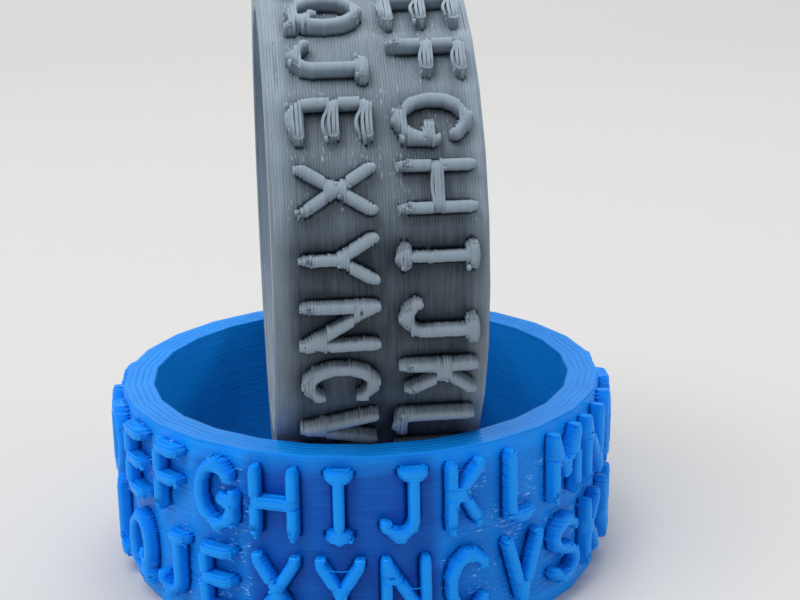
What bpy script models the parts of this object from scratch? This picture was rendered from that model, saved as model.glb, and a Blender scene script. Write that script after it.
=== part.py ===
"""Two alike printed cipher rings: one lies flat, and the other stands on edge in its bore.

Metres, +Z up. The origin is under the middle of the lying ring, and the standing ring's axis runs along X.
"""

import math

import bmesh
import bpy
from mathutils import Matrix, Vector
from mathutils.geometry import delaunay_2d_cdt

# Ring body: a band with one flat facet for each letter of the alphabet.
facet_count = 26
bore_across_flats = 0.0320
wall_thickness = 0.0024
outer_edge_chamfer = 0.0003
bore_edge_chamfer = 0.00015

# Letter rows, from the top face down. The ring's width is the sum of them.
top_band = 0.0008
letter_height = 0.0053
row_gap = 0.0013
base_band = 0.0017

# Raised letters.
letter_relief = 0.0011
letter_gap = 0.0009
stroke_width = 0.0008
letter_root = 0.0004
cap_steps = 3
bowl_steps = 6
merge_distance = 0.000001
least_mitre_share = 0.5
flat_angle = math.radians(1)

# Places of the two rings.
lying_turn = math.radians(142.2)
standing_turn = math.radians(147.0)
seat_clearance = 0.0004
seat_sample = 0.0001

# The alphabet and its cipher, from the first facet on.
plain_row = "ABCDEFGHIJKLMNOPQRSTUVWXYZ"
cipher_row = "THOLQJEXYNCVSKWZRAFIPBMGUD"

blue_plastic = (0.014, 0.216, 0.807, 1.0)
grey_plastic = (0.235, 0.250, 0.262, 1.0)
plastic_roughness = 0.38

facet_angle = math.tau / facet_count
corner_factor = 1 / math.cos(facet_angle / 2)
bore_radius = bore_across_flats / 2
facet_radius = bore_radius + wall_thickness
facet_width = 2 * facet_radius * math.tan(facet_angle / 2)
letter_width = facet_width - letter_gap
ring_width = top_band + 2 * letter_height + row_gap + base_band
plain_row_foot = ring_width - top_band - letter_height
cipher_row_foot = plain_row_foot - row_gap - letter_height


def arc(centre, radii, start, end):
    """Points of an elliptical arc, with angles in degrees counted anticlockwise from the right."""
    steps = max(2, round(bowl_steps * abs(end - start) / 180))
    turns = [math.radians(start + (end - start) * step / steps) for step in range(steps + 1)]
    return [(centre[0] + radii[0] * math.cos(turn), centre[1] + radii[1] * math.sin(turn)) for turn in turns]


# Centre lines of each letter's strokes, as shares of the letter's width and height.
stroke_shares = {
    "A": [[(0, 0), (0.5, 1)], [(0.5, 1), (1, 0)], [(0.18, 0.34), (0.82, 0.34)]],
    "B": [
        [(0, 0), (0, 1)],
        [(0, 1)] + arc((0.62, 0.76), (0.32, 0.24), 90, -90) + [(0, 0.52)],
        [(0, 0.52)] + arc((0.64, 0.26), (0.36, 0.26), 90, -90) + [(0, 0)],
    ],
    "C": [arc((0.52, 0.5), (0.52, 0.5), 42, 318)],
    "D": [[(0, 0), (0, 1)], [(0, 1)] + arc((0.45, 0.5), (0.55, 0.5), 90, -90) + [(0, 0)]],
    "E": [[(0.04, 0), (0.04, 1)], [(0.04, 1), (0.92, 1)], [(0.04, 0.5), (0.88, 0.5)], [(0.04, 0), (0.92, 0)]],
    "F": [[(0.08, 0), (0.08, 1)], [(0.08, 1), (0.9, 1)], [(0.08, 0.5), (0.84, 0.5)]],
    "G": [arc((0.52, 0.5), (0.52, 0.5), 42, 360), [(1, 0.44), (0.6, 0.44)], [(1, 0.44), (1, 0.1)]],
    "H": [[(0, 0), (0, 1)], [(1, 0), (1, 1)], [(0, 0.5), (1, 0.5)]],
    "I": [[(0.5, 0), (0.5, 1)], [(0.24, 1), (0.76, 1)], [(0.26, 0), (0.74, 0)]],
    "J": [
        [(0.72, 1)] + arc((0.36, 0.24), (0.36, 0.24), 0, -90) + arc((0.36, 0.24), (0.4, 0.24), -90, -160)[1:],
        [(0.44, 1), (1, 1)],
    ],
    "K": [[(0.04, 0), (0.04, 1)], [(0.8, 1), (0.04, 0.42)], [(0.3, 0.62), (0.75, 0.1)]],
    "L": [[(0.08, 0), (0.08, 1)], [(0.08, 0), (0.8, 0)]],
    "M": [[(0, 0), (0, 1)], [(0, 1), (0.5, 0.4)], [(0.5, 0.4), (1, 1)], [(1, 1), (1, 0)]],
    "N": [[(0, 0), (0, 1)], [(0, 1), (1, 0)], [(1, 0), (1, 1)]],
    "O": [arc((0.5, 0.5), (0.5, 0.5), 90, 270), arc((0.5, 0.5), (0.5, 0.5), 270, 450)],
    "P": [[(0, 0), (0, 1)], [(0, 1)] + arc((0.66, 0.74), (0.34, 0.26), 90, -90) + [(0, 0.48)]],
    "Q": [arc((0.5, 0.5), (0.5, 0.5), 90, 270), arc((0.5, 0.5), (0.5, 0.5), 270, 450), [(0.58, 0.3), (1, 0)]],
    "R": [
        [(0, 0), (0, 1)],
        [(0, 1)] + arc((0.66, 0.74), (0.34, 0.26), 90, -90) + [(0, 0.48)],
        [(0.5, 0.48), (1, 0)],
    ],
    "S": [
        arc((0.5, 0.75), (0.48, 0.25), 30, 270),
        arc((0.5, 0.25), (0.5, 0.25), 90, -150),
    ],
    "T": [[(0.5, 0), (0.5, 1)], [(0, 1), (1, 1)]],
    "U": [[(0, 1)] + arc((0.5, 0.3), (0.5, 0.3), 180, 360) + [(1, 1)]],
    "V": [[(0, 1), (0.5, 0)], [(0.5, 0), (1, 1)]],
    "W": [[(0, 1), (0.26, 0)], [(0.26, 0), (0.5, 0.62)], [(0.5, 0.62), (0.74, 0)], [(0.74, 0), (1, 1)]],
    "X": [[(0, 0), (1, 1)], [(0, 1), (1, 0)]],
    "Y": [[(0, 1), (0.5, 0.48)], [(1, 1), (0.5, 0.48)], [(0.5, 0.48), (0.5, 0)]],
    "Z": [[(0, 1), (1, 1)], [(1, 1), (0, 0)], [(0, 0), (1, 0)]],
}


def clear_scene():
    for obj in list(bpy.data.objects):
        bpy.data.objects.remove(obj, do_unlink=True)


def new_collection(name):
    collection = bpy.data.collections.new(name)
    bpy.context.scene.collection.children.link(collection)
    return collection


def plastic(name, color):
    material = bpy.data.materials.new(name)
    material.use_nodes = True
    shader = material.node_tree.nodes["Principled BSDF"]
    shader.inputs["Base Color"].default_value = color
    shader.inputs["Roughness"].default_value = plastic_roughness
    shader.inputs["Metallic"].default_value = 0
    return material


def stroke_outline(path, half_width):
    """Outline of a stroke of even width along a smooth path, with a round cap at each end."""
    points = [Vector(point) for point in path]
    runs = [(after - before).normalized() for before, after in zip(points, points[1:])]
    left, right = [], []
    for number, point in enumerate(points):
        before = runs[max(number - 1, 0)]
        after = runs[min(number, len(runs) - 1)]
        side = Vector((-before.y - after.y, before.x + after.x)).normalized()
        reach = half_width / max(side.dot(Vector((-after.y, after.x))), least_mitre_share)
        left.append(point + side * reach)
        right.append(point - side * reach)
    caps = []
    for point, run in ((points[-1], runs[-1]), (points[0], -runs[0])):
        heading = math.atan2(run.y, run.x) - math.pi / 2
        turns = [heading + math.pi * step / cap_steps for step in range(1, cap_steps)]
        caps.append([point + half_width * Vector((math.cos(turn), math.sin(turn))) for turn in turns])
    return right + caps[0] + left[::-1] + caps[1]


def letter_mesh(letter):
    """One letter as a closed block: X along its width, Y up its height and Z out of its facet."""
    half_stroke = stroke_width / 2
    span = Vector((letter_width - stroke_width, letter_height - stroke_width))
    corner = Vector((half_stroke - letter_width / 2, half_stroke))
    outlines = [
        stroke_outline([corner + Vector(point) * span for point in path], half_stroke)
        for path in stroke_shares[letter]
    ]
    points = [point for outline in outlines for point in outline]
    starts = [sum(len(outline) for outline in outlines[:number]) for number in range(len(outlines))]
    loops = [list(range(start, start + len(outline))) for start, outline in zip(starts, outlines)]
    # The strokes overlap where they meet, so their merged outline is filled and then given its depth.
    flat_points, _, triangles, _, _, sources = delaunay_2d_cdt(points, [], loops, 0, merge_distance)
    mesh = bmesh.new()
    corners = [mesh.verts.new((point.x, point.y, -letter_root)) for point in flat_points]
    for triangle, source in zip(triangles, sources):
        if source:
            mesh.faces.new([corners[number] for number in triangle])
    bmesh.ops.delete(mesh, geom=[corner for corner in mesh.verts if not corner.link_faces], context="VERTS")
    bmesh.ops.dissolve_limit(mesh, angle_limit=flat_angle, verts=mesh.verts[:], edges=mesh.edges[:])
    sheet = mesh.faces[:]
    raised = bmesh.ops.extrude_face_region(mesh, geom=sheet, use_keep_orig=True)
    tops = [item for item in raised["geom"] if isinstance(item, bmesh.types.BMVert)]
    bmesh.ops.translate(mesh, verts=tops, vec=(0, 0, letter_root + letter_relief))
    bmesh.ops.recalc_face_normals(mesh, faces=mesh.faces[:])
    return mesh


def letter_rows():
    """Both rows of letters round the ring, each letter square on its own facet."""
    rows = bmesh.new()
    for row, foot in ((plain_row, plain_row_foot), (cipher_row, cipher_row_foot)):
        for number, letter in enumerate(row):
            turn = (number + 0.5) * facet_angle
            out = Vector((math.cos(turn), math.sin(turn), 0))
            along = Vector((-out.y, out.x, 0))
            place = Matrix((along, Vector((0, 0, 1)), out)).transposed().to_4x4()
            place.translation = out * facet_radius + Vector((0, 0, foot))
            block = letter_mesh(letter)
            block.transform(place)
            held = bpy.data.meshes.new("letter")
            block.to_mesh(held)
            block.free()
            rows.from_mesh(held)
            bpy.data.meshes.remove(held)
    mesh = bpy.data.meshes.new("letter_rows")
    rows.to_mesh(mesh)
    rows.free()
    return mesh


def band_profile():
    """The wall's section at +X: down the outer side, across the base and up the bore."""
    outer = facet_radius * corner_factor
    inner = bore_radius * corner_factor
    section = [
        (outer - outer_edge_chamfer, ring_width),
        (outer, ring_width - outer_edge_chamfer),
        (outer, outer_edge_chamfer),
        (outer - outer_edge_chamfer, 0),
        (inner + bore_edge_chamfer, 0),
        (inner, bore_edge_chamfer),
        (inner, ring_width - bore_edge_chamfer),
        (inner + bore_edge_chamfer, ring_width),
    ]
    mesh = bpy.data.meshes.new("band_profile")
    edges = [(number, (number + 1) % len(section)) for number in range(len(section))]
    mesh.from_pydata([(radius, 0, height) for radius, height in section], edges, [])
    return mesh


def cipher_ring(name, color, profile, rows, parts, stock):
    """One printed ring: the faceted band, with its letters joined on."""
    ring = bpy.data.objects.new(name, profile.copy())
    ring.data.name = name
    ring.data.materials.append(plastic(name + "_plastic", color))
    parts.objects.link(ring)
    letters = bpy.data.objects.new(name + "_letters", rows)
    letters.hide_render = True
    letters.display_type = "WIRE"
    letters.parent = ring
    stock.objects.link(letters)
    band = ring.modifiers.new("Band", "SCREW")
    band.steps = facet_count
    band.render_steps = facet_count
    band.use_smooth_shade = False
    band.use_merge_vertices = True
    band.merge_threshold = merge_distance
    raise_letters = ring.modifiers.new("Letters", "BOOLEAN")
    raise_letters.operation = "UNION"
    raise_letters.solver = "EXACT"
    raise_letters.object = letters
    return ring


def seat_height(ring, turned):
    """How far the standing ring's axis lies over the rim: as its lowest point over the wall asks."""
    bpy.context.view_layer.update()
    solid = bpy.data.meshes.new_from_object(ring.evaluated_get(bpy.context.evaluated_depsgraph_get()))
    reach = bore_radius - seat_clearance
    height = 0
    for edge in solid.edges:
        start, end = (turned @ solid.vertices[number].co for number in edge.vertices)
        steps = math.ceil((end - start).length / seat_sample)
        for step in range(steps + 1):
            point = start.lerp(end, step / max(steps, 1))
            if point.xy.length > reach:
                height = max(height, -point.z)
    bpy.data.meshes.remove(solid)
    return height


def main():
    clear_scene()
    parts = new_collection("decoder_ring")
    stock = new_collection("letter_stock")
    profile = band_profile()
    rows = letter_rows()
    lying = cipher_ring("blue_ring", blue_plastic, profile, rows, parts, stock)
    standing = cipher_ring("grey_ring", grey_plastic, profile, rows, parts, stock)
    bpy.data.meshes.remove(profile)

    # The lying ring stands on its base. The other's axis points along +X, its letters' tops with it.
    lying.rotation_euler = (0, 0, lying_turn)
    centred = Matrix.Translation((0, 0, -ring_width / 2))
    turned = Matrix.Rotation(math.pi / 2, 4, "Y") @ Matrix.Rotation(standing_turn, 4, "Z") @ centred
    axis = bpy.data.objects.new("standing_axis", None)
    axis.location = (0, 0, ring_width + seat_height(standing, turned))
    axis.rotation_euler = (0, math.pi / 2, 0)
    parts.objects.link(axis)
    standing.parent = axis
    standing.rotation_euler = (0, 0, standing_turn)
    standing.location = (0, 0, -ring_width / 2)


main()
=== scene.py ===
# Two printed cipher rings. The blue one lies flat, and the grey one stands on edge in its bore.
import math

import bmesh
import bpy
import numpy as np
from mathutils import Matrix, Vector


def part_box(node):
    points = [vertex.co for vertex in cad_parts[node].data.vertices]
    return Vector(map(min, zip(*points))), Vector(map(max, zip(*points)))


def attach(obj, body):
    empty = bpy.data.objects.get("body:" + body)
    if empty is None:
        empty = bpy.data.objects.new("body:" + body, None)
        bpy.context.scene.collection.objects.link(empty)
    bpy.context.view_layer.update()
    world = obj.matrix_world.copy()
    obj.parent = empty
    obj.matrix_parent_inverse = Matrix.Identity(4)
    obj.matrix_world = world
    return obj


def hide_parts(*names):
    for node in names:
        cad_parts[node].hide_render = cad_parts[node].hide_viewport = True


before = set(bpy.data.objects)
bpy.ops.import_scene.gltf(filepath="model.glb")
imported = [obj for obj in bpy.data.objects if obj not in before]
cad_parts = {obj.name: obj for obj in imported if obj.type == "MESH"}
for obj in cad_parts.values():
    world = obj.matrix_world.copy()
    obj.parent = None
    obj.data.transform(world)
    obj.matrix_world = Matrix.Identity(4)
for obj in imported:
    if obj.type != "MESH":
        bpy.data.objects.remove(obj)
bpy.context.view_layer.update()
print("frame loaded:", sorted(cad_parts))

mm = 0.001
hair = 0.01 * mm  # what counts as no distance

# How both rings were printed, from the bed up along each ring's own axis.
printing = {
    "facets": 26,
    "letters": "ABCDEFGHIJKLMNOPQRSTUVWXYZ",  # the top row, one to a facet
    "layers": 72,
    "layerHeight": 0.2 * mm,
    "boreRadius": 16.0 * mm,
    "facetRadius": 18.4 * mm,
    "relief": 1.1 * mm,  # how far the letters stand out
}
facetAngle = math.tau / printing["facets"]
facetWidth = 2 * printing["facetRadius"] * math.tan(facetAngle / 2)
ringWidth = printing["layers"] * printing["layerHeight"]

# Facets are named by their letter in the top row, and turns are in degrees.
rings = {
    "blue": {
        "node": "blue_ring",
        "body": "blue_ring",
        "slot": "blue_plastic",
        "standing": False,
        "turn": 142.2,
        "smoothFacets": "HIJUVW",
        "bristlyFacets": "KLSTYZ",
        "sagScale": 0.25,  # how far loose strands hang
        "endRound": 0.04 * mm,  # how far the ends of a stroke draw back
        "endSpread": 0.9,  # how much of its width a closing layer regains
        "toneBlend": 0.1 * mm,  # how softly smooth and rough facets meet
        "groove": 0.011 * mm,  # between two layers
        "crown": 0.009 * mm,  # of the rows behind a stroke's front
        "rowWidth": 0.172 * mm,  # half of one row
        "rowLeast": 1.25 * mm,  # the shortest run that has them
        # The blue bore is painted paler than its strands, as painted light lit through the plastic.
        "boreTone": 1.25,
        "strings": {"I": (31,)},  # layers with a string for certain
        "blobs": 1.1,
        "slantSteps": (0.25, 0.5, 0.75),  # of a layer
        "slantMost": 1.3 * mm,  # the longest step that is smoothed
        "seed": 11,
    },
    "grey": {
        "node": "grey_ring",
        "body": "grey_ring",
        "slot": "grey_plastic",
        "standing": True,
        "turn": 147.0,
        "smoothFacets": "IJKLMVW",
        "bristlyFacets": "IJKLTUX",
        "sagScale": 1.0,
        "endRound": 0.12 * mm,
        "endSpread": 0.2,
        "toneBlend": 1.6 * mm,
        "groove": 0.022 * mm,
        "crown": 0.035 * mm,
        "rowWidth": 0.152 * mm,
        "rowLeast": 0.45 * mm,
        "boreTone": 0.9,
        "strings": {"P": (30, 58)},
        "blobs": 1.7,
        "slantSteps": (0.5,),
        "slantMost": 0.9 * mm,
        "seed": 23,
    },
}


# Node trees, for shaders and for geometry alike
class Signal:
    def __init__(self, graph, socket):
        self.graph = graph
        self.socket = socket

    def other(self, name):  # another output of the same node
        return Signal(self.graph, self.socket.node.outputs[name])

    def combine(self, operation, first, second):
        return self.graph.node("ShaderNodeMath", {"operation": operation}, {0: first, 1: second})

    def __add__(self, value):
        return self.combine("ADD", self, value)

    def __radd__(self, value):
        return self.combine("ADD", value, self)

    def __sub__(self, value):
        return self.combine("SUBTRACT", self, value)

    def __rsub__(self, value):
        return self.combine("SUBTRACT", value, self)

    def __mul__(self, value):
        return self.combine("MULTIPLY", self, value)

    def __rmul__(self, value):
        return self.combine("MULTIPLY", value, self)

    def __gt__(self, value):
        return self.combine("GREATER_THAN", self, value)

    def __abs__(self):
        return self.combine("ABSOLUTE", self, 0)


class Graph:
    def __init__(self, tree):
        self.tree = tree

    def node(self, kind, settings=None, inputs=None, output=0):
        made = self.tree.nodes.new(kind)
        for name, value in (settings or {}).items():
            setattr(made, name, value)
        for name, value in (inputs or {}).items():
            if isinstance(value, Signal):
                self.tree.links.new(value.socket, made.inputs[name])
            else:
                made.inputs[name].default_value = value
        return Signal(self, made.outputs[output]) if len(made.outputs) else made


def emptyGraph(owner):  # of a material or a world
    owner.use_nodes = True
    owner.node_tree.nodes.clear()
    return Graph(owner.node_tree)


# The strand tree: polylines in, laid plastic strands out
strand = {
    "halfWidth": 0.15 * mm,
    "halfHeight": 0.104 * mm,
    "sides": 6,
    "crown": 0.0,
    "fineGroove": 0.002 * mm,
    "wander": 0.07 * mm,
    "wanderScale": 1400.0,
}
# Which points of the round section are noses, crown or edges, on a circle of radius 1.
section = {"middle": 0.1, "edgeFrom": 0.5, "edgeMask": 0.9}
strandInputs = {
    "Half width": "NodeSocketFloat",
    "Half height": "NodeSocketFloat",
    "Sides": "NodeSocketInt",
    "Crown": "NodeSocketFloat",
    "Groove": "NodeSocketFloat",
    "Fine groove": "NodeSocketFloat",
    "Wander": "NodeSocketFloat",
    "Wander scale": "NodeSocketFloat",
    "Seed": "NodeSocketFloat",
    "Plastic": "NodeSocketMaterial",
}


def buildStrandTree():
    tree = bpy.data.node_groups.new("laid_strands", "GeometryNodeTree")
    tree.interface.new_socket(name="Geometry", in_out="OUTPUT", socket_type="NodeSocketGeometry")
    tree.interface.new_socket(name="Geometry", in_out="INPUT", socket_type="NodeSocketGeometry")
    for name, kind in strandInputs.items():
        tree.interface.new_socket(name=name, in_out="INPUT", socket_type=kind)
    graph = Graph(tree)
    given = graph.node("NodeGroupInput")

    def attribute(name, kind="FLOAT"):
        return graph.node("GeometryNodeInputNamedAttribute", {"data_type": kind}, {"Name": name})

    rough = attribute("rough")
    # The strand wanders a little where the facet is rough.
    noise = graph.node(
        "ShaderNodeTexNoise",
        {"noise_dimensions": "4D"},
        {"W": given.other("Seed"), "Scale": given.other("Wander scale"), "Detail": 1.0},
    )
    swing = graph.node(
        "ShaderNodeVectorMath", {"operation": "SUBTRACT"}, {0: noise.other("Color"), 1: (0.5, 0.5, 0.5)}
    )
    wander = graph.node(
        "ShaderNodeVectorMath", {"operation": "SCALE"}, {0: swing, "Scale": given.other("Wander") * rough}
    )
    path = graph.node("GeometryNodeMeshToCurve", None, {"Mesh": given})
    path = graph.node("GeometryNodeSetPosition", None, {"Geometry": path, "Offset": wander})
    path = graph.node("GeometryNodeSetCurveNormal", {"mode": "Z_UP"}, {"Curve": path})
    path = graph.node(
        "GeometryNodeStoreNamedAttribute",
        {"data_type": "FLOAT_VECTOR", "domain": "POINT"},
        {"Geometry": path, "Name": "outward", "Value": graph.node("GeometryNodeInputNormal")},
    )
    # The section has a nose on each side and edges where it meets the next strand.
    # With eight sides it has a crown too.
    profile = graph.node(
        "GeometryNodeCurvePrimitiveCircle",
        {"mode": "RADIUS"},
        {"Resolution": given.other("Sides"), "Radius": 1.0},
    )
    spot = graph.node("ShaderNodeSeparateXYZ", None, {0: graph.node("GeometryNodeInputPosition")})
    height = spot.other("Y")
    offCentre = abs(spot) > section["middle"]
    offNose = abs(height) > section["edgeFrom"]
    atEdge = offNose * offCentre
    side = ((spot > 0.0) * 2 - 1) * offCentre
    above = ((height > 0.0) * 2 - 1) * offNose
    profilePoint = graph.node(
        "ShaderNodeCombineXYZ",
        None,
        {
            0: side * (given.other("Half width") - atEdge * given.other("Groove")),
            1: above * (given.other("Half height") - atEdge * given.other("Crown")),
        },
    )
    profile = graph.node(
        "GeometryNodeStoreNamedAttribute",
        {"data_type": "FLOAT", "domain": "POINT"},
        {"Geometry": profile, "Name": "edge", "Value": atEdge * (spot > 0.0)},
    )
    profile = graph.node("GeometryNodeSetPosition", None, {"Geometry": profile, "Position": profilePoint})
    laid = graph.node(
        "GeometryNodeCurveToMesh",
        None,
        {"Curve": path, "Profile Curve": profile, "Scale": attribute("thickness"), "Fill Caps": True},
    )
    # On a smooth facet the strands are pressed flat, so their edges come forward.
    press = (1 - rough) * attribute("edge") * (given.other("Groove") - given.other("Fine groove"))
    outward = attribute("outward", "FLOAT_VECTOR")
    pressed = graph.node("ShaderNodeVectorMath", {"operation": "SCALE"}, {0: outward, "Scale": press})
    laid = graph.node("GeometryNodeSetPosition", None, {"Geometry": laid, "Offset": pressed})
    laid = graph.node("GeometryNodeSetShadeSmooth", {"domain": "FACE"}, {0: laid, "Shade Smooth": True})
    # The seam between two strands keeps its edge, so their faces are shaded as shallow as they are.
    laid = graph.node(
        "GeometryNodeSetShadeSmooth",
        {"domain": "EDGE"},
        {0: laid, "Selection": attribute("edge") > section["edgeMask"], "Shade Smooth": False},
    )
    for name in ("outward", "edge"):
        laid = graph.node("GeometryNodeRemoveAttribute", None, {"Geometry": laid, "Name": name})
    laid = graph.node("GeometryNodeRealizeInstances", None, {"Geometry": laid})
    plastic = given.other("Plastic")
    laid = graph.node("GeometryNodeSetMaterial", None, {"Geometry": laid, "Material": plastic})
    graph.node("NodeGroupOutput", None, {"Geometry": laid})
    return tree


strandTree = buildStrandTree()
socketIds = {
    item.name: item.identifier for item in strandTree.interface.items_tree if item.in_out == "INPUT"
}
print("strand tree built:", len(strandTree.nodes), "nodes")


# Each point of a path carries how rough its facet is, how thick the strand is and how pale it looks.
def addPath(paths, points, rough, tone, thickness=1.0, closed=True):
    columns = [np.broadcast_to(value, len(points)) for value in (rough, thickness, tone)]
    paths.append((np.asarray(points), columns, closed))


def guideMesh(name, paths):
    points = np.concatenate([path[0] for path in paths])
    edges = []
    start = 0
    for path in paths:
        count = len(path[0])
        line = np.arange(start, start + count)
        pairs = np.stack([line, np.roll(line, -1)], 1)
        edges.append(pairs if path[2] else pairs[:-1])
        start += count
    mesh = bpy.data.meshes.new(name)
    mesh.from_pydata(points.tolist(), np.concatenate(edges).tolist(), [])
    for column, label in enumerate(("rough", "thickness", "tone")):
        values = np.concatenate([path[1][column] for path in paths]).astype(np.float32)
        mesh.attributes.new(label, "FLOAT", "POINT").data.foreach_set("value", values)
    return mesh


def layStrands(name, ring, paths, changes=None):
    guide = bpy.data.objects.new(name + "_guide", guideMesh(name + "_guide", paths))
    bpy.context.scene.collection.objects.link(guide)
    modifier = guide.modifiers.new("Strands", "NODES")
    modifier.node_group = strandTree
    sizes = {
        "Half width": strand["halfWidth"],
        "Half height": strand["halfHeight"],
        "Sides": strand["sides"],
        "Crown": strand["crown"],
        "Groove": ring["groove"],
        "Fine groove": strand["fineGroove"],
        "Wander": strand["wander"],
        "Wander scale": strand["wanderScale"],
        "Seed": float(ring["seed"]),
        "Plastic": ring["material"],
    }
    sizes.update(changes or {})
    for label, value in sizes.items():
        modifier[socketIds[label]] = value
    bpy.context.view_layer.update()
    depsgraph = bpy.context.evaluated_depsgraph_get()
    mesh = bpy.data.meshes.new_from_object(
        guide.evaluated_get(depsgraph), preserve_all_data_layers=True, depsgraph=depsgraph
    )
    bpy.data.objects.remove(guide)
    return finishPiece(name, ring, mesh)


def finishPiece(name, ring, mesh):
    mesh.name = name
    mesh.transform(ring["place"])
    piece = bpy.data.objects.new(name, mesh)
    bpy.context.scene.collection.objects.link(piece)
    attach(piece, ring["body"])
    mesh.calc_loop_triangles()
    print(" ", name, len(mesh.loop_triangles), "triangles")
    return piece


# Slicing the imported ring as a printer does. Each slice lies just off the middle of its layer,
# clear of the letters' own corners.
slicing = {
    "offset": 0.017 * mm,
    "merge": 0.0005 * mm,
    "leastEdge": 0.02 * mm,
    "leastTurn": 2,  # degrees
    "samplesPerFacet": 160,
}
samplesPerFacet = slicing["samplesPerFacet"]
sampleWidth = facetWidth / samplesPerFacet


def layerLevel(layer):
    return (layer + 0.5) * printing["layerHeight"]


def ringPlace(ring):
    turn = Matrix.Rotation(math.radians(ring["turn"]), 4, "Z")
    if not ring["standing"]:
        return turn
    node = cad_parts[ring["node"]]
    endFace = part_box(ring["node"])[1].x - hair
    # The corners of the end face lie evenly round the axis.
    ends = [vertex.co for vertex in node.data.vertices if vertex.co.x > endFace]
    corners = sorted({tuple(round(value, 6) for value in end) for end in ends})
    axisHeight = sum(corner[2] for corner in corners) / len(corners)
    print("  standing axis at", round(axisHeight / mm, 2), "mm")
    upright = Matrix.Rotation(math.pi / 2, 4, "Y")
    centred = turn @ Matrix.Translation((0, 0, -ringWidth / 2))
    return Matrix.Translation((0, 0, axisHeight)) @ upright @ centred


def mergedRing(ring):
    solid = bmesh.new()
    solid.from_mesh(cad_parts[ring["node"]].data)
    bmesh.ops.remove_doubles(solid, verts=solid.verts[:], dist=slicing["merge"])
    solid.transform(ring["place"].inverted())
    solid.normal_update()
    return solid


def loopTurns(points):
    before = points - np.roll(points, 1, 0)
    after = np.roll(points, -1, 0) - points
    cross = before[:, 0] * after[:, 1] - before[:, 1] * after[:, 0]
    return np.arctan2(cross, (before * after).sum(1)), before, after


def loopArea(points):
    after = np.roll(points, -1, 0)
    return 0.5 * float((points[:, 0] * after[:, 1] - points[:, 1] * after[:, 0]).sum())


def sliceRing(solid, height):
    cut = solid.copy()
    bmesh.ops.bisect_plane(
        cut,
        geom=[*cut.verts, *cut.edges, *cut.faces],
        plane_co=(0, 0, height),
        plane_no=(0, 0, 1),
        clear_inner=True,
        clear_outer=True,
    )
    loops = []
    waiting = dict.fromkeys(cut.edges)
    while waiting:
        edge = next(iter(waiting))
        del waiting[edge]
        first, here = edge.verts
        line = [first]
        while here is not first and edge is not None:
            line.append(here)
            edge = next((other for other in here.link_edges if other in waiting), None)
            if edge is not None:
                del waiting[edge]
                here = edge.other_vert(here)
        loops.append(np.array([(vertex.co.x, vertex.co.y) for vertex in line]))
    cut.free()
    outline = max(loops, key=lambda points: abs(loopArea(points)))
    if loopArea(outline) < 0:
        outline = outline[::-1]
    apart = np.linalg.norm(outline - np.roll(outline, 1, 0), axis=1) > slicing["leastEdge"]
    outline = outline[apart]
    outline = outline[np.abs(loopTurns(outline)[0]) > math.radians(slicing["leastTurn"])]
    # Every run of the script starts the outline at the same corner, the furthest along X.
    start = int(np.lexsort((outline[:, 1], outline[:, 0]))[-1])
    return np.roll(outline, -start, 0)


def facetFrame(points):
    number = np.floor((np.arctan2(points[:, 1], points[:, 0]) % math.tau) / facetAngle).astype(int)
    middle = (number + 0.5) * facetAngle
    depth = points[:, 0] * np.cos(middle) + points[:, 1] * np.sin(middle) - printing["facetRadius"]
    along = points[:, 1] * np.cos(middle) - points[:, 0] * np.sin(middle)
    return number % printing["facets"], depth, along


def facetAxes(number):  # outwards and along a facet
    middle = (number + 0.5) * facetAngle
    out = np.array((math.cos(middle), math.sin(middle), 0))
    return out, np.array((-out[1], out[0], 0))


def sampleIndex(number, along):
    spot = (number + along / facetWidth + 0.5) * samplesPerFacet
    return np.clip(spot.astype(int), 0, printing["facets"] * samplesPerFacet - 1)


def raisedSamples(outline):
    number, depth, along = facetFrame(outline)
    index = sampleIndex(number, along)
    high = depth > printing["relief"] / 2
    raised = np.zeros(printing["facets"] * samplesPerFacet, bool)
    for here, there, front in zip(index, np.roll(index, -1), high & np.roll(high, -1)):
        if front:
            raised[min(here, there):max(here, there)] = True
    return raised


def spread(mask, reach):
    return np.any([np.roll(mask, step) for step in range(-reach, reach + 1)], axis=0)


def runsOf(mask):  # where each stretch of True starts and ends
    return np.flatnonzero(np.diff(np.concatenate(([0], mask.astype(int), [0])))).reshape(-1, 2)


# Where nothing lies under a stroke, its lowest strands hang down, and their free ends are drawn in.
sagging = {
    "reach": 0.15 * mm,  # how far the layer below still carries
    "leastSpan": 0.3 * mm,
    "least": 0.06 * mm,
    "perSpan": 0.14,
    "most": 0.6 * mm,
    "uneven": (0.5, 1.4),
    "otherwise": 0.65,  # bridges, and runs held at neither end
    "bridgePower": 0.7,  # how square a bridge hangs
    "arm": (0.5, 0.65),  # slope and bow of a run held at one end
    "free": (0.7, 0.3),  # drop and bow of a run held at neither
    "carriedUp": 0.5,
    "drawnIn": 0.6,
    "mostDrawnIn": 0.42 * mm,
    "drawnUneven": (0.7, 1.2),
    "drawnUp": 0.62,
    "bothEnds": 2.2,  # how much further a run is drawn in that is held at neither end
    "armSpan": 1.2 * mm,
    "endShift": 0.15 * mm,
    "roundSpan": 0.5 * mm,
    "strokeWidth": 0.86 * mm,
}


def shareOfRun(start, end):
    return (np.arange(start, end) + 0.5 - start) / (end - start)


def strongest(values, reach):
    shifted = np.stack([np.roll(values, step) for step in (-reach, 0, reach)])
    return np.take_along_axis(shifted, np.abs(shifted).argmax(0)[None], 0)[0]


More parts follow.
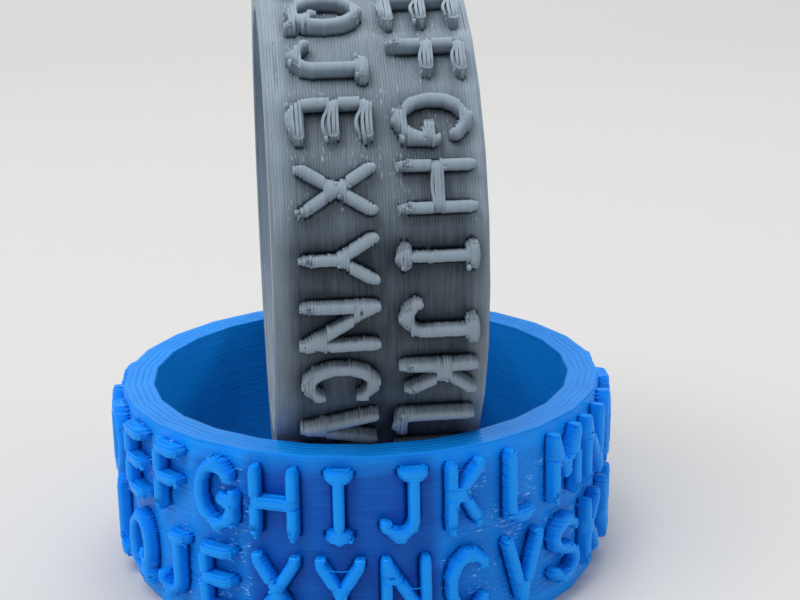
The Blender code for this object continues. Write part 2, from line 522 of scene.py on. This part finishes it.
def sagOfLayers(ring, raised):
    draw = ring["draw"]
    reach = round(sagging["reach"] / sampleWidth)
    sag = np.zeros(raised.shape)
    pull = np.zeros(raised.shape)
    looseRuns = []
    for layer in range(1, len(raised)):
        below = spread(raised[layer - 1], reach)
        sag[layer] = strongest(sag[layer - 1], reach) * sagging["carriedUp"] * raised[layer]
        pull[layer] = strongest(pull[layer - 1], reach) * sagging["drawnUp"] * raised[layer]
        for start, end in runsOf(raised[layer] & ~below):
            span = (end - start) * sampleWidth
            if span < sagging["leastSpan"]:
                continue
            share = shareOfRun(start, end)
            heldLeft = raised[layer][start - 1]
            heldRight = raised[layer][end]
            if heldLeft and heldRight:
                shape = (4 * share * (1 - share)) ** sagging["bridgePower"]
                away = np.zeros(end - start)
            elif heldLeft or heldRight:
                away = share if heldLeft else share - 1
                slope, bow = sagging["arm"]
                shape = slope * np.abs(away) + bow * np.sin(share * math.pi)
            else:
                drop, bow = sagging["free"]
                shape = drop + bow * np.sin(share * math.pi + draw.uniform(-1, 1))
                away = share - 0.5
            depth = sagging["least"] + sagging["perSpan"] * span
            depth = min(depth * draw.uniform(*sagging["uneven"]), sagging["most"])
            depth *= ring["sagScale"] * (1.0 if heldLeft != heldRight else sagging["otherwise"])
            drawn = min(sagging["drawnIn"] * span, sagging["mostDrawnIn"])
            drawn *= draw.uniform(*sagging["drawnUneven"])
            drawn *= 1.0 if heldLeft or heldRight else sagging["bothEnds"]
            sag[layer, start:end] = np.maximum(sag[layer, start:end], depth * shape)
            pull[layer, start:end] = -away * drawn
            looseRuns.append((layer, start, end, heldLeft, heldRight))
    for layer in range(1, len(raised) - 1):
        for start, end in runsOf(raised[layer]):
            span = (end - start) * sampleWidth
            away = 2 * shareOfRun(start, end) - 1
            under = raised[layer - 1]
            over = raised[layer + 1]
            # A run that closes a stroke is spread to the stroke's full width.
            if span < sagging["strokeWidth"] and not (under[start:end].any() and over[start:end].any()):
                pull[layer, start:end] += away * (sagging["strokeWidth"] - span) / 2 * ring["endSpread"]
            if span < sagging["roundSpan"]:
                continue
            for side, spot in ((-1, start + reach), (1, end - 1 - reach)):
                amount = 0.0
                if not (under[spot] and over[spot]):
                    amount -= side * ring["endRound"]
                # No two strands of an arm end alike.
                if span > sagging["armSpan"]:
                    amount += draw.normal(0, sagging["endShift"]) * ring["sagScale"]
                pull[layer, start:end] += amount * np.maximum(side * away, 0) ** 2
    return sag, pull, looseRuns


# How closely letters crowd round each place. The facet is painted darker there, as painted shade where
# the letters shelter it.
crowding = {"along": 0.9 * mm, "layers": 4}
# The same over a shorter reach rounds a stroke's front off towards its edges.
doming = {"along": 0.17 * mm, "layers": 1, "depth": 0.28 * mm}


def blurred(values, reach, axis):
    return np.mean([np.roll(values, step, axis) for step in range(-reach, reach + 1)], axis=0)


def crowdOfLetters(raised, reach):
    along = blurred(raised.astype(float), round(reach["along"] / sampleWidth), 1)
    return blurred(along, reach["layers"], 0)


# One path for each layer
laying = {
    "inset": 0.16 * mm,  # of the strand's middle, from the ring's face
    "leastMitre": 0.4,
    "spacing": 0.45 * mm,
    "layerShift": 0.024 * mm,
    "wallShift": 0.02 * mm,
}


def insetLoop(points, inset):
    _, before, after = loopTurns(points)
    before = before / np.linalg.norm(before, axis=1)[:, None]
    after = after / np.linalg.norm(after, axis=1)[:, None]
    inward = np.stack([-before[:, 1] - after[:, 1], before[:, 0] + after[:, 0]], 1)
    reach = np.maximum(1 + (before * after).sum(1), laying["leastMitre"])
    return points + inward * (inset / reach)[:, None]


rounding = {
    "leastTurn": 35,  # degrees
    "mostTurn": 2.2,  # radians
    "tipRadius": 0.6 * mm,
    "tipSteps": (0.25, 0.5, 0.75),
    "rootCut": 0.06 * mm,
    "wallShare": 0.8,  # a wall gives most of its length to its outer corner,
    "frontShare": 0.46,  # and a front gives about half to each
    "rootShare": 0.15,
}


def roundLoop(points):
    turns, before, after = loopTurns(points)
    longBefore = np.linalg.norm(before, axis=1)
    longAfter = np.linalg.norm(after, axis=1)
    line = []
    for number, point in enumerate(points):
        turn = turns[number]
        if abs(turn) < math.radians(rounding["leastTurn"]):
            line.append(point)
            continue
        radius = rounding["tipRadius"] if turn > 0 else rounding["rootCut"]
        back = radius * math.tan(min(abs(turn), rounding["mostTurn"]) / 2)
        for length in (longBefore[number], longAfter[number]):
            wall = abs(length - printing["relief"]) < hair
            share = rounding["wallShare"] if wall else rounding["frontShare"]
            back = min(back, length * (share if turn > 0 else rounding["rootShare"]))
        enter = point - before[number] / longBefore[number] * back
        leave = point + after[number] / longAfter[number] * back
        line.append(enter)
        if turn > 0:
            for step in rounding["tipSteps"]:
                rest = 1 - step
                line.append(rest ** 2 * enter + 2 * step * rest * point + step ** 2 * leave)
        line.append(leave)
    return np.array(line)


def fillLoop(points, spacing):
    line = []
    for here, there in zip(points, np.roll(points, -1, 0)):
        steps = max(1, math.ceil(np.linalg.norm(there - here) / spacing))
        for step in range(steps):
            line.append(here + (there - here) * step / steps)
    return np.array(line)


# How rough the strands are: on the facets, on the walls of the letters and on their fronts.
roughness = {
    "facet": (0.65, 1.0),
    "smooth": 0.08,
    "walls": 0.35,  # as a share of the facet's own
    "bristlyWalls": 1.3,
    "front": 0.12,
    "letterFrom": 0.05,
}


def facetNumbers(letters):
    return [printing["letters"].index(letter) for letter in letters]


def facetRoughness(ring):
    rough = ring["draw"].uniform(*roughness["facet"], printing["facets"])
    rough[facetNumbers(ring["smoothFacets"])] = roughness["smooth"]
    walls = roughness["walls"] * rough
    walls[facetNumbers(ring["bristlyFacets"])] = roughness["bristlyWalls"]
    return rough, walls


# How pale a facet is painted, which is painted light and shade: darker where it is smooth, with painted
# sheen where it is rough, painted shade where letters crowd it, and painted light near the rims, as if
# lit through.
facetTone = {
    "base": 0.1,
    "rough": 0.74,
    "crowdShade": -0.42,
    "rim": 0.66,
    "rimReach": 1.7 * mm,
    "wall": 0.6,
}


def bodyTone(crowdShade, rough, level):
    # Painted light near the rims, painted sheen on rough facets and painted shade where letters crowd.
    nearRim = 1 - np.minimum(level, ringWidth - level) / facetTone["rimReach"]
    lit = facetTone["rim"] * np.clip(nearRim, 0, 1)
    tone = facetTone["base"] + facetTone["rough"] * rough + facetTone["crowdShade"] * crowdShade + lit
    return np.clip(tone, 0, 1)


def layerPath(ring, level, outline, fields):
    draw = ring["draw"]
    rough = ring["rough"]
    walls = ring["walls"]
    sag, pull, crowdShade, dome = fields
    line = fillLoop(roundLoop(insetLoop(outline, laying["inset"])), laying["spacing"])
    number, depth, along = facetFrame(line)
    share = np.clip((depth + laying["inset"]) / printing["relief"], 0, 1)  # 0 on the facet, 1 on a front
    index = sampleIndex(number, along)
    height = level - sag[index] * share
    shift = draw.uniform(-1, 1, printing["facets"]) * laying["layerShift"] * rough
    outwards = shift[number] * (1 - share) - dome[index] * share
    line = line * (1 + outwards / printing["facetRadius"])[:, None]
    # The walls of a stroke are less even than its front, and its free ends are drawn in.
    onWall = 4 * share * (1 - share)
    jitter = draw.normal(0, laying["wallShift"], printing["facets"]) * walls
    sideways = pull[index] * share + jitter[number] * onWall
    middle = (number + 0.5) * facetAngle
    line = line + np.stack([-np.sin(middle), np.cos(middle)], 1) * sideways[:, None]
    onLetter = walls[number] * onWall ** 0.5 + roughness["front"] * share
    roughHere = np.where(share > roughness["letterFrom"], onLetter, rough[number])
    # Painted light: a stroke is painted paler the further it stands out.
    lit = share ** facetTone["wall"]
    tone = lit + (1 - lit) * bodyTone(crowdShade[index], ring["paintedSheen"][index], level)
    return np.column_stack([line, height]), roughHere, tone, share, index


# The strands from one layer up to another make one piece.
zones = {
    "foot": (1, 10),
    "cipher_low": (10, 23),
    "cipher_high": (23, 37),
    "plain_low": (37, 54),
    "plain_high": (54, 71),
}


def buildStrands(ring, outlines):
    for zone, layers in zones.items():
        paths = []
        for layer in range(*layers):
            path = layerPath(ring, layerLevel(layer), outlines[layer], ring["fields"][layer])
            points, roughHere, tone, _, _ = path
            addPath(paths, points, roughHere, tone)
        layStrands(ring["color"] + "_strands_" + zone, ring, paths)


# On a slanting stroke the steps between the layers have flowed together.
slants = {
    "least": 0.05 * mm,
    "leastShare": 0.15,
    "beside": 7,  # samples
    "from": 0.25,
    "leastPoints": 3,
    "rough": 0.0,
}
letterRows = {"cipher": (1, 37), "plain": (37, 71)}


def slantingSamples(ring, lower, upper):
    slanting = np.zeros(len(lower), bool)
    for start, end in runsOf(lower ^ upper):
        if slants["least"] < (end - start) * sampleWidth < ring["slantMost"]:
            slanting[start:end] = True
    return slanting


def addSlants(paths, path, slanting):
    points, _, tone, share, index = path
    standing = share > slants["from"]
    first = int(np.argmin(standing))
    points, tone, share, index, standing = (
        np.roll(values, -first, 0) for values in (points, tone, share, index, standing)
    )
    for start, end in runsOf(standing):
        low = index[start:end].min() - slants["beside"]
        high = index[start:end].max() + slants["beside"]
        longEnough = end - start >= slants["leastPoints"]
        if longEnough and slanting[low:high].mean() > slants["leastShare"]:
            addPath(paths, points[start:end], slants["rough"], tone[start:end], closed=False)


def buildSlants(ring, between, raised):
    fields = ring["fields"]
    for row, layers in letterRows.items():
        paths = []
        for layer in range(*layers):
            slanting = slantingSamples(ring, raised[layer], raised[layer + 1])
            for step in ring["slantSteps"]:
                mixed = fields[layer] * (1 - step) + fields[layer + 1] * step
                path = layerPath(ring, layerLevel(layer + step), between[step][layer], mixed)
                addSlants(paths, path, slanting)
        layStrands(ring["color"] + "_slants_" + row, ring, paths)


# Wisps and blobs where a stroke ends in the air. "behind" is measured from the letters' fronts.
# Loose strands are painted as pale as a stroke's front, part of the strokes' painted light.
looseTone = 1.0
wisps = {
    "chance": 0.6,
    "footShare": 0.3,  # for a run held at neither end
    "behind": (0.12 * mm, 0.5 * mm),
    "overlap": 0.15 * mm,
    "length": (0.15 * mm, 0.5 * mm),
    "fall": (0.1, 0.9),
    "outwards": (-0.3, 0.05),
    "root": 0.6,
    "taper": 0.5,
    "thickness": (0.5, 1.0),
    "points": 5,
}
blobs = {
    "chance": 0.5,
    "size": (0.09 * mm, 0.17 * mm),
    "outwards": 0.04 * mm,
    "roundness": 0.97,
    "rough": 0.3,
    "points": 7,
}


def addWisp(paths, ring, base, side, out, way, rough):
    draw = ring["draw"]
    length = draw.uniform(*wisps["length"])
    fall = draw.uniform(*wisps["fall"])
    steps = np.linspace(0, 1, wisps["points"])[:, None]
    line = base + side * way * length * steps + out * length * draw.uniform(*wisps["outwards"]) * steps
    line = line - np.array((0, 0, 1)) * length * fall * steps ** 2
    taper = wisps["root"] - wisps["taper"] * steps[:, 0]
    thickness = taper * draw.uniform(*wisps["thickness"]) * ring["blobs"]
    addPath(paths, line, rough, looseTone, thickness, closed=False)


def addBlob(paths, ring, base, side, way):
    size = ring["draw"].uniform(*blobs["size"]) * ring["blobs"]
    steps = np.linspace(-1, 1, blobs["points"])[:, None]
    line = base + side * way * blobs["outwards"] + side * size * steps
    thickness = ring["blobs"] * np.sqrt(1 - blobs["roundness"] * steps[:, 0] ** 2)
    addPath(paths, line, blobs["rough"], looseTone, thickness, closed=False)


def addLooseEnds(paths, ring):
    draw = ring["draw"]
    for layer, start, end, heldLeft, heldRight in ring["looseRuns"]:
        for index, held, way in ((start, heldLeft, -1), (end - 1, heldRight, 1)):
            if held:
                continue
            number = int(index // samplesPerFacet)
            rough = ring["rough"][number]
            chance = rough * (1.0 if heldLeft or heldRight else wisps["footShare"])
            out, side = facetAxes(number)
            along = ((index % samplesPerFacet) / samplesPerFacet - 0.5) * facetWidth
            height = layerLevel(layer) - ring["sag"][layer, index]
            reach = printing["facetRadius"] + printing["relief"] - draw.uniform(*wisps["behind"])
            base = out * reach + side * (along - way * wisps["overlap"]) + np.array((0, 0, height))
            if draw.random() < wisps["chance"] * chance:
                addWisp(paths, ring, base, side, out, way, rough)
            if draw.random() < blobs["chance"] * chance:
                addBlob(paths, ring, base, side, way)


# Thin strings that the nozzle drew from one stroke to the next
strings = {
    "chance": 0.002,
    "gap": (0.5 * mm, 2.0 * mm),
    "overlap": 4,  # samples
    "behind": (0.1 * mm, 0.4 * mm),
    "fall": 0.08,
    "slack": (0.2, 1.0),
    "thickness": (0.14, 0.22),
    "rough": 0.1,
    "points": 7,
}


def addStrings(paths, ring, raised):
    draw = ring["draw"]
    least, most = strings["gap"]
    overlap = strings["overlap"]
    for layer in range(2, len(raised) - 2):
        runs = runsOf(raised[layer])
        for (_, start), (end, _) in zip(runs, runs[1:]):
            gap = (end - start) * sampleWidth
            number = start // samplesPerFacet
            if number != end // samplesPerFacet or not least < gap < most:
                continue
            wanted = layer in ring["strings"].get(printing["letters"][number], ())
            if not wanted and draw.random() > strings["chance"]:
                continue
            out, side = facetAxes(number)
            steps = np.linspace(0, 1, strings["points"])[:, None]
            along = (start - overlap + (end - start + 2 * overlap) * steps) * sampleWidth
            along = along - (number + 0.5) * facetWidth
            reach = printing["facetRadius"] + printing["relief"] - draw.uniform(*strings["behind"])
            fall = strings["fall"] * gap * draw.uniform(*strings["slack"]) * 4 * steps * (1 - steps)
            line = out * reach + side * along + np.array((0, 0, 1)) * (layerLevel(layer) - fall)
            thickness = draw.uniform(*strings["thickness"])
            addPath(paths, line, strings["rough"], looseTone, thickness, closed=False)


# Further strands behind the front one, wherever a stroke's top or underside can be seen.
rows = {
    "behind": (0.46 * mm, 0.76 * mm),
    "endInset": 0.16 * mm,
    "spacing": 0.4 * mm,
    "sagUneven": (0.7, 1.3),
    "rough": 0.5,  # as a share of the facet's own
    # The rows are painted nearly as pale as a stroke's front, part of the strokes' painted light.
    "tone": 0.9,
    "sides": 8,
}


def addRows(paths, ring, layer, raised):
    for beside in (layer + 1, layer - 1):
        for start, end in runsOf(raised[layer] & ~raised[beside]):
            span = (end - start) * sampleWidth - 2 * rows["endInset"]
            if span < ring["rowLeast"] - 2 * rows["endInset"]:
                continue
            steps = np.linspace(0, 1, max(2, math.ceil(span / rows["spacing"]) + 1))
            spot = start * sampleWidth + rows["endInset"] + span * steps
            index = (spot / sampleWidth).astype(int)
            number = int(start // samplesPerFacet)
            out, side = facetAxes(number)
            for behind in rows["behind"]:
                share = 1 - behind / printing["relief"]
                along = spot - (number + 0.5) * facetWidth + ring["pull"][layer, index] * share
                reach = printing["facetRadius"] + printing["relief"] - behind
                line = out * reach + side * along[:, None]
                uneven = ring["draw"].uniform(*rows["sagUneven"])
                line[:, 2] = layerLevel(layer) - ring["sag"][layer, index] * share * uneven
                addPath(paths, line, ring["rough"][number] * rows["rough"], rows["tone"], closed=False)


def buildRows(ring, raised):
    paths = []
    addLooseEnds(paths, ring)
    addStrings(paths, ring, raised)
    for layer in range(1, printing["layers"] - 1):
        addRows(paths, ring, layer, raised)
    changes = {"Half width": ring["rowWidth"], "Sides": rows["sides"], "Crown": ring["crown"]}
    layStrands(ring["color"] + "_rows", ring, paths, changes)


def polygonLoop(radius, height, perFacet):
    corner = radius / math.cos(facetAngle / 2)
    turns = np.arange(printing["facets"]) * facetAngle
    corners = np.stack([np.cos(turns), np.sin(turns)], 1) * corner
    line = []
    for here, there in zip(corners, np.roll(corners, -1, 0)):
        for step in range(perFacet):
            line.append(here + (there - here) * step / perFacet)
    return np.column_stack([line, np.full(len(line), height)])


bore = {"perFacet": 3}  # points of a path


def buildBore(ring):
    facetOf = np.repeat(np.arange(printing["facets"]), bore["perFacet"])
    paths = []
    for layer in range(1, printing["layers"] - 1):
        shift = ring["draw"].uniform(0, 1) * laying["layerShift"]
        radius = printing["boreRadius"] + laying["inset"] + shift
        # Laid clockwise, so that its outer side faces the axis.
        loop = polygonLoop(radius, layerLevel(layer), bore["perFacet"])[::-1]
        addPath(paths, loop, ring["rough"][facetOf[::-1]], ring["boreTone"])
    layStrands(ring["color"] + "_bore", ring, paths)


rim = {
    "strands": 5,
    "halfWidth": 0.24 * mm,
    "halfHeight": 0.105 * mm,
    "sides": 8,
    "groove": 0.004 * mm,
    "fineGroove": 0.002 * mm,
    "crown": 0.005 * mm,
    "edgeInset": 0.08 * mm,
    "boreInset": 0.04 * mm,
    "perFacet": 6,
    "rough": 0.25,
    # The rims are painted pale, as painted light near the rims.
    "tone": 0.85,
}


def buildRims(ring):
    paths = []
    for height in (printing["layerHeight"] / 2, ringWidth - printing["layerHeight"] / 2):
        for number in range(rim["strands"]):
            radius = printing["facetRadius"] - (2 * number + 1) * rim["halfWidth"]
            radius -= rim["edgeInset"] if number == 0 else 0
            radius += rim["boreInset"] if number == rim["strands"] - 1 else 0
            loop = polygonLoop(radius, height, rim["perFacet"])
            addPath(paths, loop, rim["rough"], rim["tone"])
    changes = {
        "Half width": rim["halfWidth"],
        "Half height": rim["halfHeight"],
        "Sides": rim["sides"],
        "Crown": rim["crown"],
        "Groove": rim["groove"],
        "Fine groove": rim["fineGroove"],
    }
    layStrands(ring["color"] + "_rims", ring, paths, changes)


# What fills the ring behind its strands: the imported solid, shrunk a little.
core = {
    "body": 0.05 * mm,
    "letter": 0.24 * mm,
    "height": 0.03 * mm,
    "rim": 0.05 * mm,
    "mostSlant": 1.8,
    # Painted light: the core is painted paler behind the letters and in the bore than behind the facets.
    "bodyTone": 0.35,
    "letterTone": 0.8,
}


def buildCore(ring, solid):
    inner = solid.copy()
    roughLayer = inner.verts.layers.float.new("rough")
    toneLayer = inner.verts.layers.float.new("tone")
    moves = []
    for vertex in inner.verts:
        number, depth, _ = facetFrame(np.array([vertex.co.xy]))
        letter = depth[0] > printing["relief"] / 2
        inset = core["letter"] if letter else core["body"]
        slant = min(vertex.calc_shell_factor(), core["mostSlant"])
        move = vertex.normal * -slant * inset
        move.z *= (core["height"] if letter else core["rim"]) / inset
        moves.append(move)
        vertex[roughLayer] = ring["rough"][number[0]]
        inBore = depth[0] < -printing["relief"]
        vertex[toneLayer] = core["letterTone"] if letter or inBore else core["bodyTone"]
    for vertex, move in zip(inner.verts, moves):
        vertex.co += move
    name = ring["color"] + "_core"
    mesh = bpy.data.meshes.new(name)
    inner.to_mesh(mesh)
    inner.free()
    mesh.materials.append(ring["material"])
    piece = finishPiece(name, ring, mesh)
    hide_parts(ring["node"])


# Works out what all the strands of a ring need, then lays them piece by piece.
def buildRing(ring, outlines, between, raised, solid):
    ring["draw"] = np.random.default_rng(ring["seed"])
    ring["rough"], ring["walls"] = facetRoughness(ring)
    ring["sag"], ring["pull"], ring["looseRuns"] = sagOfLayers(ring, raised)
    # Painted shade where letters crowd round a place
    crowdShade = crowdOfLetters(raised, crowding)
    dome = (1 - crowdOfLetters(raised, doming)) * doming["depth"]
    ring["fields"] = np.stack([ring["sag"], ring["pull"], crowdShade, dome], 1)
    # Painted sheen: rough facets are painted paler, blended softly where smooth and rough facets meet.
    blend = round(ring["toneBlend"] / sampleWidth)
    ring["paintedSheen"] = blurred(np.repeat(ring["rough"], samplesPerFacet), blend, 0)
    buildCore(ring, solid)
    buildStrands(ring, outlines)
    buildSlants(ring, between, raised)
    buildRows(ring, raised)
    buildBore(ring)
    buildRims(ring)


# The plastics: each one's colour, a dark colour for painted shade and a pale colour for painted glints
plastics = {
    "blue": {
        "color": (0.004, 0.31, 0.98, 1),
        "paintedShade": (0.0005, 0.078, 0.44, 1),
        "paintedSheen": (0.26, 0.62, 1.0, 1),
        "paintedGlintFrom": 0.61,
        "seams": 0.10,
        "roughness": 0.40,
        "tilt": 0.0,
    },
    "grey": {
        "color": (0.258, 0.325, 0.395, 1),
        "paintedShade": (0.027, 0.040, 0.055, 1),
        "paintedSheen": (0.38, 0.46, 0.53, 1),
        "paintedGlintFrom": 0.62,
        "seams": 0.22,
        "roughness": 0.36,
        "tilt": -math.pi / 2,
    },
}
# The patterns in both plastics
patterns = {
    "streaks": {"stretch": (0.35, 0.35, 5.0), "scale": 1000.0, "detail": 2.0},
    "clouds": {"scale": 260.0, "detail": 3.0},
    "grain": {"scale": 4200.0, "detail": 2.0},
    "dashes": {"stretch": (0.75, 0.75, 4.0), "scale": 2600.0, "detail": 1.0},
    "clusters": {"scale": 420.0, "detail": 1.0},
}
surface = {
    "streakShade": 0.35,
    "cloudShade": 0.3,
    "seamShade": 0.03,
    # Painted glints: pale dashes in clusters on the rough facets
    "paintedGlintGain": 8,
    "paintedGlintClusters": 0.53,
    "paintedGlintRough": 0.5,  # on facets rougher than this
    "paintedGlintTone": 0.75,  # and not on what is paler than this
    "glintFrom": 0.6,
    "glintGloss": 0.16,
    "grainGloss": 0.12,
    "bumpDepth": 0.03 * mm,
    "bumpStrength": 0.6,
    "grainBump": (0.12, 0.4),  # everywhere, and more where it is rough
    "dashBump": 2.0,
    "streakBump": 0.25,
    "refraction": 1.46,
    "specular": 0.2,
}


def printedPlastic(color):
    finish = plastics[color]
    material = bpy.data.materials.new(color + "_printed_plastic")
    graph = emptyGraph(material)
    spot = graph.node("ShaderNodeTexCoord", None, None, "Object")
    # Turned so that the layers lie across Z, as they were printed.
    spot = graph.node("ShaderNodeMapping", None, {"Vector": spot, "Rotation": (0, finish["tilt"], 0)})

    def noise(name):
        pattern = patterns[name]
        place = spot
        if "stretch" in pattern:
            place = graph.node("ShaderNodeMapping", None, {"Vector": spot, "Scale": pattern["stretch"]})
        return graph.node(
            "ShaderNodeTexNoise",
            None,
            {"Vector": place, "Scale": pattern["scale"], "Detail": pattern["detail"]},
        )

    def mixed(factor, first, second):
        return graph.node("ShaderNodeMix", {"data_type": "RGBA"}, {0: factor, 6: first, 7: second}, 2)

    rough = graph.node("ShaderNodeAttribute", {"attribute_name": "rough"}, None, "Fac")
    tone = graph.node("ShaderNodeAttribute", {"attribute_name": "tone"}, None, "Fac")
    streaks = noise("streaks")
    clouds = noise("clouds")
    grain = noise("grain")
    dashes = noise("dashes")
    glint = (dashes > surface["glintFrom"]) * rough
    # Painted glints: pale dashes in clusters on rough facets, painted into the colour in place of light
    # glinting off the strands
    where = (noise("clusters") > surface["paintedGlintClusters"]) * (rough > surface["paintedGlintRough"])
    where = where * (1 - (tone > surface["paintedGlintTone"]))
    paintedGlints = (dashes - finish["paintedGlintFrom"]) * surface["paintedGlintGain"] * where
    # Painted shade: the seams between layers are painted darker, as shade in the grooves between strands.
    height = graph.node("ShaderNodeSeparateXYZ", None, {0: spot}).other("Z")
    layer = height * (1 / printing["layerHeight"])
    seam = abs(graph.node("ShaderNodeMath", {"operation": "FRACT"}, {0: layer}) - 0.5) * 2
    seam = seam * seam * seam
    seamShade = seam * (surface["seamShade"] + rough * finish["seams"])
    # Painted light: the strokes are painted paler than the facets, standing in for light that passes into
    # what stands out of a facet; a low tone mixes towards the painted shade colour.
    shade = tone + (streaks - 0.5) * surface["streakShade"] + (clouds - 0.5) * surface["cloudShade"]
    tint = mixed(shade - seamShade, finish["paintedShade"], finish["color"])
    tint = mixed(paintedGlints, tint, finish["paintedSheen"])
    smooth, roughMore = surface["grainBump"]
    relief = grain * (smooth + rough * roughMore) + dashes * rough * surface["dashBump"]
    bump = graph.node(
        "ShaderNodeBump",
        None,
        {
            "Strength": surface["bumpStrength"],
            "Distance": surface["bumpDepth"],
            "Height": relief + streaks * surface["streakBump"],
        },
    )
    gloss = finish["roughness"] - glint * surface["glintGloss"]
    shader = graph.node(
        "ShaderNodeBsdfPrincipled",
        None,
        {
            "Base Color": tint,
            "Roughness": gloss + (grain - 0.5) * surface["grainGloss"],
            "IOR": surface["refraction"],
            "Specular IOR Level": surface["specular"],
            "Normal": bump,
        },
    )
    graph.node("ShaderNodeOutputMaterial", None, {"Surface": shader})
    return material


for color, ring in rings.items():
    ring["color"] = color
    ring["material"] = printedPlastic(color)
    ring["place"] = ringPlace(ring)
print("materials built")

# Both rings are alike, so the blue one is sliced for both.
solid = mergedRing(rings["blue"])
outlines = [
    sliceRing(solid, layerLevel(layer) + slicing["offset"])
    for layer in range(printing["layers"])
]
slantSteps = sorted({step for ring in rings.values() for step in ring["slantSteps"]})
between = {
    step: [
        sliceRing(solid, layerLevel(layer + step) + slicing["offset"])
        for layer in range(printing["layers"] - 1)
    ]
    for step in slantSteps
}
raised = np.array([raisedSamples(outline) for outline in outlines])
print("ring sliced:", len(outlines), "layers,", sum(len(outline) for outline in outlines), "corners")

for color, ring in rings.items():
    print(color, "ring")
    buildRing(ring, outlines, between, raised, solid)
solid.free()


# Stage, light and camera
stage = {
    "color": (0.62, 0.62, 0.615, 1),
    "halfWidth": 1.2,
    "front": -0.9,
    "bend": 0.28,
    "bendRadius": 0.22,
    "bendSteps": 16,
    "top": 1.0,
}


def buildStage():
    profile = [(stage["front"], 0.0)]
    for step in range(stage["bendSteps"] + 1):
        turn = math.pi / 2 * step / stage["bendSteps"]
        back = stage["bend"] + stage["bendRadius"] * math.sin(turn)
        profile.append((back, stage["bendRadius"] * (1 - math.cos(turn))))
    profile.append((stage["bend"] + stage["bendRadius"], stage["top"]))
    sheet = bmesh.new()
    folds = [
        [sheet.verts.new((side * stage["halfWidth"], y, z)) for side in (-1, 1)]
        for y, z in profile
    ]
    for near, far in zip(folds, folds[1:]):
        sheet.faces.new((near[0], near[1], far[1], far[0])).smooth = True
    mesh = bpy.data.meshes.new("studio_sheet")
    sheet.to_mesh(mesh)
    sheet.free()
    material = bpy.data.materials.new("studio_paper")
    graph = emptyGraph(material)
    paper = graph.node("ShaderNodeBsdfDiffuse", None, {"Color": stage["color"]})
    graph.node("ShaderNodeOutputMaterial", None, {"Surface": paper})
    mesh.materials.append(material)
    floor = bpy.data.objects.new("studio_sheet", mesh)
    bpy.context.scene.collection.objects.link(floor)


lamps = {
    "key": {"place": (-0.24, -0.20, 0.60), "size": 0.45, "power": 2.6, "color": (1, 0.99, 0.98)},
    "top": {"place": (0.12, 0.22, 0.62), "size": 0.5, "power": 1.7, "color": (0.97, 0.99, 1)},
    "left": {"place": (-0.70, 0.0, 0.25), "size": 0.4, "power": 0.5, "color": (0.97, 0.99, 1)},
    "right": {"place": (0.66, -0.20, 0.26), "size": 0.4, "power": 0.55, "color": (0.98, 0.99, 1)},
}
lampAim = (0, 0, 0.02)
# The air lights the object plainly, and looks paler where it is seen itself.
air = {"light": 0.45, "seen": 0.35}


def addLamps():
    for name, lamp in lamps.items():
        light = bpy.data.lights.new(name, "AREA")
        light.shape = "DISK"
        light.size = lamp["size"]
        light.energy = lamp["power"]
        light.color = lamp["color"]
        holder = bpy.data.objects.new(name + "_lamp", light)
        holder.location = lamp["place"]
        aim = Vector(lampAim) - Vector(lamp["place"])
        holder.rotation_euler = aim.to_track_quat("-Z", "Y").to_euler()
        holder.visible_camera = False
        bpy.context.scene.collection.objects.link(holder)
    world = bpy.data.worlds.new("studio_air")
    graph = emptyGraph(world)
    path = graph.node("ShaderNodeLightPath", None, None, "Is Camera Ray")
    seen = path + path.other("Is Glossy Ray") + path.other("Is Transmission Ray")
    strength = air["light"] + seen * air["seen"]
    glow = graph.node("ShaderNodeBackground", None, {"Color": (1, 1, 1, 1), "Strength": strength})
    graph.node("ShaderNodeOutputWorld", None, {"Surface": glow})
    bpy.context.scene.world = world


# Where the photograph was taken from, about the middle of the lying ring's top face.
view = {
    "focalPixels": 1645.0,
    "imageWidth": 800,
    "distance": 129.4 * mm,
    "pitch": 16.6,  # degrees
    "roll": 0.95,
    "heading": 6.2,
    "right": -3.13 * mm,
    "up": -5.33 * mm,
    "sensor": 36.0,
    "clip": (0.005, 10.0),
}


def addCamera():
    pitch = math.radians(view["pitch"])
    roll = math.radians(view["roll"])
    ahead = Vector((0, math.cos(pitch), -math.sin(pitch)))
    above = Vector((0, math.sin(pitch), math.cos(pitch)))
    right = Vector((1, 0, 0))
    place = Vector((0, 0, ringWidth)) - ahead * view["distance"]
    place = place - right * view["right"] - above * view["up"]
    rolledRight = right * math.cos(roll) - above * math.sin(roll)
    rolledUp = right * math.sin(roll) + above * math.cos(roll)
    axes = Matrix((rolledRight, rolledUp, -ahead)).transposed().to_4x4()
    lens = bpy.data.cameras.new("photo_view")
    lens.sensor_width = view["sensor"]
    lens.lens = view["focalPixels"] / view["imageWidth"] * view["sensor"]
    lens.clip_start, lens.clip_end = view["clip"]
    camera = bpy.data.objects.new("photo_view", lens)
    heading = Matrix.Rotation(-math.radians(view["heading"]), 4, "Z")
    camera.matrix_world = heading @ Matrix.Translation(place) @ axes
    bpy.context.scene.collection.objects.link(camera)
    bpy.context.scene.camera = camera


buildStage()
addLamps()
addCamera()
bpy.context.scene.view_settings.view_transform = "Standard"
bpy.context.view_layer.update()
print("stage, lamps and camera set")
